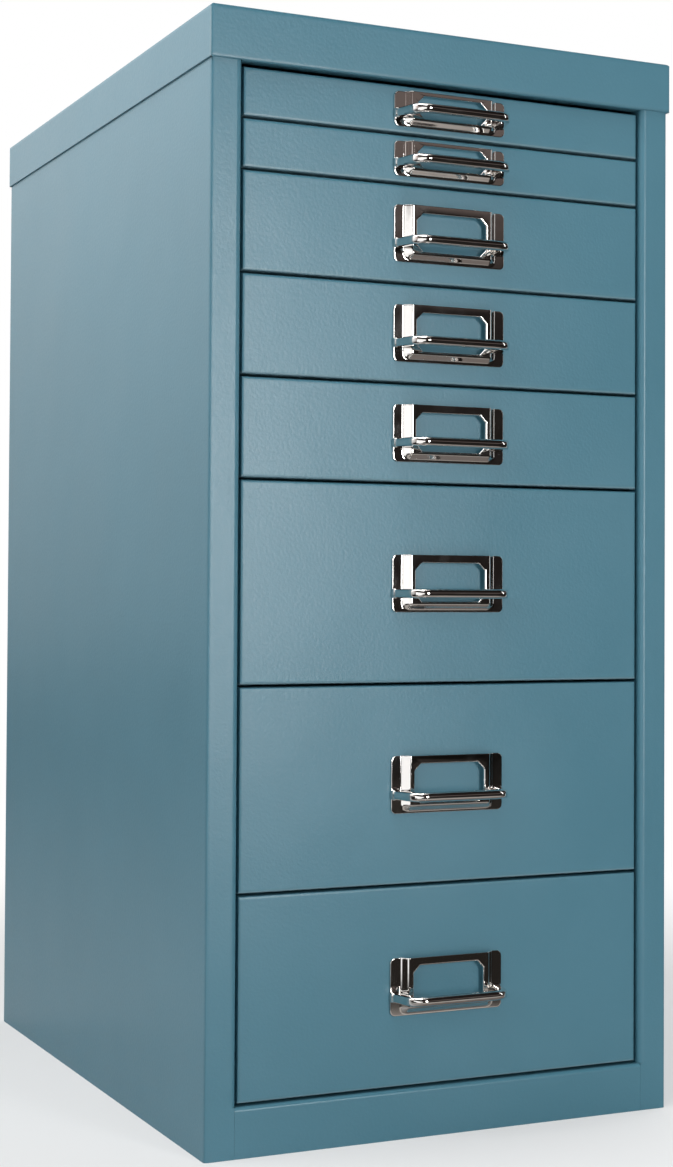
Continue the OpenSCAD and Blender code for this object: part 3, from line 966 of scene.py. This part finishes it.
lamps = {
    "frontBox": {"place": (0.52, -2.2, 0.49), "size": (0.35, 0.92), "power": 17.6},
    "leftBox": {"place": (-1.9, -1.35, 1.1), "size": (1.0, 1.3), "power": 10, "mirrored": False},
    "leftHigh": {"place": (-0.75, -0.1, 1.2), "size": (0.7, 0.5), "power": 7.5},
    "topBox": {"place": (-0.35, -0.7, 2.0), "size": (1.0, 0.8), "power": 11},
    "rightStrip": {"place": (1.7, -0.9, 0.9), "size": (0.2, 1.4), "power": 2.2},
    "rearBox": {"place": (1.5, 1.7, 1.3), "size": (1.2, 1.2), "power": 18, "mirrored": False},
    "rightRear": {"place": (2.3, 0.7, 1.0), "size": (1.2, 1.2), "power": 22, "mirrored": False},
}
lampAim = Vector((0, 0, 0.3))


def hangLamp(name, look):
    data = bpy.data.lights.new(name, "AREA")
    data.shape = "RECTANGLE"
    data.size, data.size_y = look["size"]
    data.energy = look["power"]
    lamp = bpy.data.objects.new(name, data)
    bpy.context.scene.collection.objects.link(lamp)
    turn = (lampAim - Vector(look["place"])).to_track_quat("-Z", "Y")
    lamp.matrix_world = Matrix.Translation(look["place"]) @ turn.to_matrix().to_4x4()
    lamp.visible_camera = False
    lamp.visible_glossy = look.get("mirrored", True)


room = {
    "fill": 0.14,  # light from all round, and from its dark end
    "dark": 0.01,
    "darkBand": (0.3, 0.8),
    "gleam": 1.35,  # the bright wall behind the cabinet, as mirrors see it
    "gleamWay": (-0.6, 0.8, -0.45),
    "gleamBand": (-0.15, 0.55),
    "gleamFoot": 0.42,
    "gleamRise": 0.72,
    "riseBand": (-0.05, 0.35),
    "card": 1.25,
    "cardBand": (0.885, 0.905),
    "cardTop": (0.42, 0.30),
    "steep": 0.08,  # the card is narrower for what looks up or down
    "steepBand": (0.165, 0.205),
    "dusk": 0.13,
    "duskFoot": (0.12, 0.24),
    "duskTop": (0.40, 0.28),
    "ceiling": 0.7,
    "ceilingBand": (0.885, 0.905),
    "least": 0.015,
    "warm": colour(1, 0.80, 0.74),  # tint of what is left dark
}


def studioWorld():
    world = bpy.data.worlds.new("studio")
    bpy.context.scene.world = world
    world.use_nodes = True
    world.node_tree.nodes.clear()
    w = Writer(world.node_tree)
    way = w.add("ShaderNodeTexCoord").outputs["Generated"]
    right, back, up = w.axes(way)

    # what lights the paint
    dim = w.smooth(right * darkEnd[0] + back * darkEnd[1], *room["darkBand"])
    fill = room["fill"] * (1 - dim) + room["dark"] * dim

    # what shows in mirrors
    wayRight, wayBack, wayUp = room["gleamWay"]
    behind = w.smooth(back * wayBack + right * wayRight + up * wayUp, *room["gleamBand"])
    steep = w.smooth(w.maths("ABSOLUTE", up), *room["steepBand"])
    toCard = right * cardWay[0] + back * cardWay[1] - room["steep"] * steep
    card = w.smooth(toCard, *room["cardBand"]) * w.smooth(up, *room["cardTop"])
    dusk = room["dusk"] * w.smooth(up, *room["duskFoot"]) * w.smooth(up, *room["duskTop"])
    ceiling = room["ceiling"] * w.smooth(up, *room["ceilingBand"])
    rise = room["gleamFoot"] + room["gleamRise"] * w.smooth(up, *room["riseBand"])
    gleam = room["gleam"] * behind * rise + room["card"] * card
    gleam = gleam + dusk + ceiling + room["least"]
    lit = w.least(behind + card + ceiling, 1)
    tint = w.mixColour(lit, room["warm"], plainWhite)

    path = w.add("ShaderNodeLightPath")
    seen = path.outputs["Is Camera Ray"]
    mirrored = w.amount(path.outputs["Is Glossy Ray"])
    light = w.add("ShaderNodeBackground", None, {
        "Color": w.mixColour(mirrored, plainWhite, tint),
        "Strength": fill + (gleam - fill) * mirrored,
    })
    white = w.add("ShaderNodeBackground", None, {"Color": plainWhite, "Strength": 1.0})
    mixed = w.add("ShaderNodeMixShader", None, {
        0: seen, 1: light.outputs[0], 2: white.outputs[0],
    })
    w.add("ShaderNodeOutputWorld", None, {"Surface": mixed.outputs[0]})


paperFloor()
for name, look in lamps.items():
    hangLamp(name, look)
studioWorld()
bpy.context.scene.view_settings.view_transform = "Standard"
print("studio lit")
